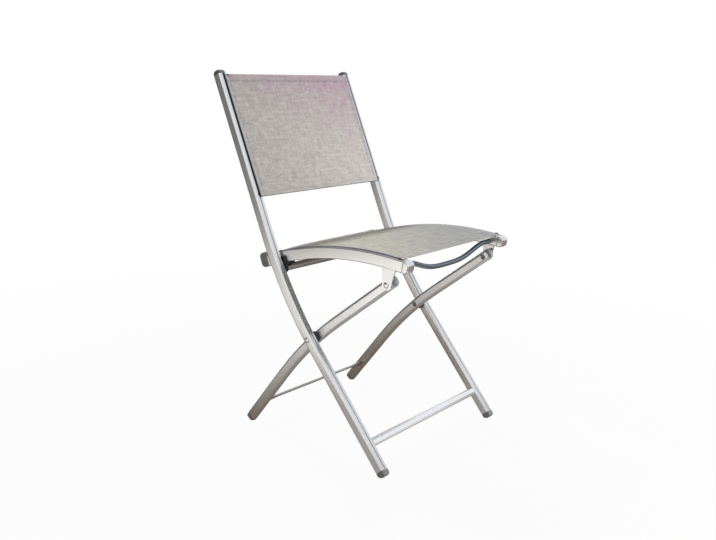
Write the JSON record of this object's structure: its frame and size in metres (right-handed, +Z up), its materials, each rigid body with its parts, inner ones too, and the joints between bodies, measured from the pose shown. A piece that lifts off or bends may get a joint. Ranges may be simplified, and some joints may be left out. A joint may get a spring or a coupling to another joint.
{
  "type": "folding garden chair",
  "caption": "Folding garden chair with bent aluminium posts, curved rear legs and arched seat rails, carrying a stretched textile seat and back sling.",
  "frame": {"origin": "on the floor, at the centre of the open chair's bounding box", "axes": "+Z up, +Y towards the back, +X towards the sitter's left; the sitter faces -Y"},
  "size_m": [0.4554, 0.529, 0.807],
  "materials": {
    "anodised_aluminium": "satin anodised",
    "rivet_metal": "bright, turned",
    "blue_grey_bar": "satin blue-grey coat",
    "dark_plastic": "matte",
    "black_plastic": "matte",
    "pale_plastic": "satin, silver grey",
    "textile": "open woven mesh, mottled grey-beige",
    "spline_cord": "smooth"
  },
  "bodies": {
    "frame": {"right_post": "anodised_aluminium", "left_post": "anodised_aluminium", "right_post_cap": "dark_plastic", "left_post_cap": "dark_plastic", "right_front_foot": "dark_plastic", "left_front_foot": "dark_plastic", "front_stretcher": "anodised_aluminium", "seat_crossbar": "anodised_aluminium", "right_pivot_rivet": "rivet_metal", "left_pivot_rivet": "rivet_metal", "back_sling": "textile", "back_spreader": "blue_grey_bar", "right_back_spline": "spline_cord", "left_back_spline": "spline_cord"},
    "legs": {"right_pivot_spacer": "black_plastic", "left_pivot_spacer": "black_plastic", "right_rear_leg": "anodised_aluminium", "left_rear_leg": "anodised_aluminium", "right_leg_cap": "pale_plastic", "left_leg_cap": "pale_plastic", "right_rear_foot": "dark_plastic", "left_rear_foot": "dark_plastic", "rear_rod": "anodised_aluminium", "right_leg_pin": "rivet_metal", "left_leg_pin": "rivet_metal"},
    "sliders": {"right_slider": "black_plastic", "left_slider": "black_plastic"},
    "seat": {"right_seat_rail": "anodised_aluminium", "left_seat_rail": "anodised_aluminium", "right_rail_front_cap": "pale_plastic", "left_rail_front_cap": "pale_plastic", "right_rail_rear_cap": "dark_plastic", "left_rail_rear_cap": "dark_plastic", "front_bow": "blue_grey_bar", "right_seat_bracket": "anodised_aluminium", "left_seat_bracket": "anodised_aluminium", "right_bracket_pin": "rivet_metal", "left_bracket_pin": "rivet_metal", "seat_sling": "textile", "right_seat_spline": "spline_cord", "left_seat_spline": "spline_cord"}
  },
  "joints": [
    {"name": "leg_fold", "type": "hinge", "parent": "frame", "child": "legs", "pos_m": [0, -0.02942, 0.251], "axis": [-1, 0, 0], "range_deg": [0, 74]},
    {"name": "slider_turn", "type": "hinge", "parent": "frame", "child": "sliders", "pos_m": [0, 0.06506, 0.39], "axis": [-1, 0, 0], "range_deg": [0, 91.63]},
    {"name": "seat_slide", "type": "hinge", "parent": "sliders", "child": "seat", "pos_m": [0, -0.16368, -0.29365], "axis": [-1, 0, 0], "range_deg": [0, 16.4]}
  ],
  "couplings": [
    {"joint": "slider_turn", "follows": "leg_fold", "ratio": 1.2382},
    {"joint": "seat_slide", "follows": "leg_fold", "ratio": 0.22163}
  ]
}
